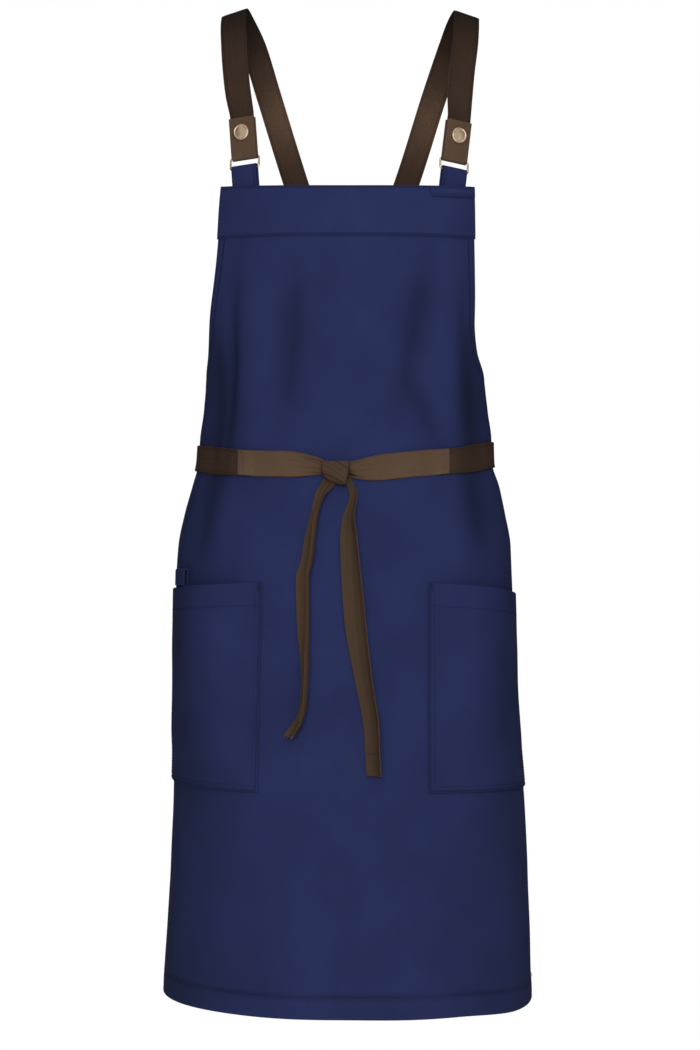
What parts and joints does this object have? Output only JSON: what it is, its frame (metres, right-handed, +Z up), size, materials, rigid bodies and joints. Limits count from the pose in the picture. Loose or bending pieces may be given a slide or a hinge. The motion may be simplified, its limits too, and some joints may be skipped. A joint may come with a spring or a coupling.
{
  "type": "cross back apron",
  "caption": "Bib apron in navy twill with webbing straps that cross on the back, patch pockets and a belt knotted in front.",
  "frame": {"origin": "midway between the two shoulder straps where they pass over the shoulders", "axes": "+Z up, -Y is the way the wearer faces, +X is to the right of someone facing the apron"},
  "size_m": [0.3653, 0.2732, 0.9805],
  "materials": {
    "navy_twill": "brushed cotton twill",
    "dark_webbing": "woven cotton webbing",
    "light_tape": "woven twill tape",
    "antique_brass": "antiqued"
  },
  "bodies": {
    "root": {"apron_panel": "navy_twill", "bib_band": "navy_twill", "bib_loop": "navy_twill", "pocket_left": "navy_twill", "pocket_right": "navy_twill", "pocket_loop": "navy_twill", "ring_loop_left": "navy_twill", "ring_loop_right": "navy_twill", "ring_left": "antique_brass", "ring_right": "antique_brass", "snap_left": "antique_brass", "snap_right": "antique_brass", "tab_left": "light_tape", "tab_right": "light_tape", "strap_left": "dark_webbing", "strap_right": "dark_webbing", "belt_left": "dark_webbing", "belt_right": "dark_webbing", "tie_left": "light_tape", "tie_right": "light_tape", "waist_knot": "light_tape", "tail_left": "light_tape", "tail_right": "light_tape"}
  },
  "joints": []
}
